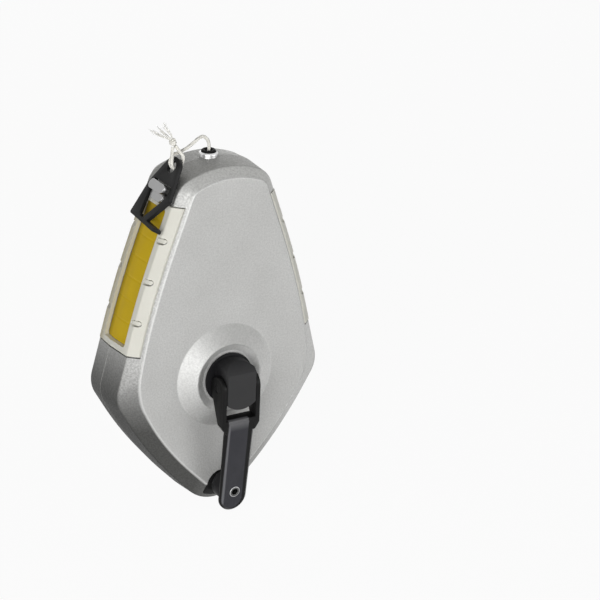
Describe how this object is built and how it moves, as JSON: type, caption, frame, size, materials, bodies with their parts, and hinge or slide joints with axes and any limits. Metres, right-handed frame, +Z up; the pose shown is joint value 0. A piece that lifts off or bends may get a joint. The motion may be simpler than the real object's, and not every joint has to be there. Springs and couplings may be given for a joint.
{
  "type": "chalk line reel",
  "caption": "Hand chalk line reel: kite-shaped cast case, folding crank on a round boss, clear-edged side windows, line nozzle and a parked end hook.",
  "frame": {"origin": "on the spool axis, in the plane of the flat back face", "axes": "+Z up to the line nozzle, +X to the right seen from the front plate, +Y out of the back face; the front plate faces -Y"},
  "size_m": [0.0846, 0.043, 0.1482],
  "materials": {
    "cast_aluminium": "blasted die casting",
    "pale_panel": "pale translucent moulding",
    "yellow_plastic": "satin",
    "steel": "plated",
    "rubber": "matt",
    "felt": "felt",
    "bush_metal": "sintered",
    "black_plastic": "moulded",
    "black_metal": "satin black coat",
    "line_cord": "braided cotton"
  },
  "bodies": {
    "case": {"front_shell": "cast_aluminium", "rear_shell": "cast_aluminium", "left_side_panel": "pale_panel", "right_side_panel": "pale_panel", "left_window_strip": "yellow_plastic", "door_frame": "yellow_plastic", "hook_peg": "steel", "nozzle_collar": "steel", "nozzle_grommet": "rubber", "felt_wiper": "felt", "knob_seat": "rubber", "case_screws": "steel", "front_bush": "bush_metal", "rear_bush": "bush_metal", "thrust_washer": "steel", "line_free": "line_cord"},
    "spool": {"spool_core": "black_plastic", "front_flange": "black_plastic", "rear_flange": "black_plastic", "spool_shaft": "steel", "line_pack": "line_cord", "line_winding": "line_cord", "crank_hub": "black_metal", "bail_pin": "steel"},
    "lever": {"crank_lever": "black_metal", "knob_rivet": "steel"},
    "knob": {"crank_knob": "black_plastic"},
    "hook": {"line_hook": "black_metal", "line_loop": "line_cord", "line_knot": "line_cord", "line_ends": "line_cord"},
    "door": {"fill_door": "yellow_plastic"}
  },
  "joints": [
    {"name": "spool_spin", "type": "hinge", "parent": "case", "child": "spool", "pos_m": [0, -0.015, 0], "axis": [0, 1, 0], "continuous": true},
    {"name": "crank_fold", "type": "hinge", "parent": "spool", "child": "lever", "pos_m": [0, -0.0382, -0.001], "axis": [-1, 0, 0], "range_deg": [0, 168]},
    {"name": "knob_spin", "type": "hinge", "parent": "lever", "child": "knob", "pos_m": [0, -0.03385, -0.04237], "axis": [0, 0.9945, 0.1045], "continuous": true},
    {"name": "hook_lift", "type": "slide", "parent": "case", "child": "hook", "axis": [-0.8462, 0, 0.5329], "range_m": [0, 0.007], "deforming": ["line_free"]},
    {"name": "door_slide", "type": "slide", "parent": "case", "child": "door", "axis": [-0.299, 0, 0.9542], "range_m": [-0.021, 0]}
  ]
}
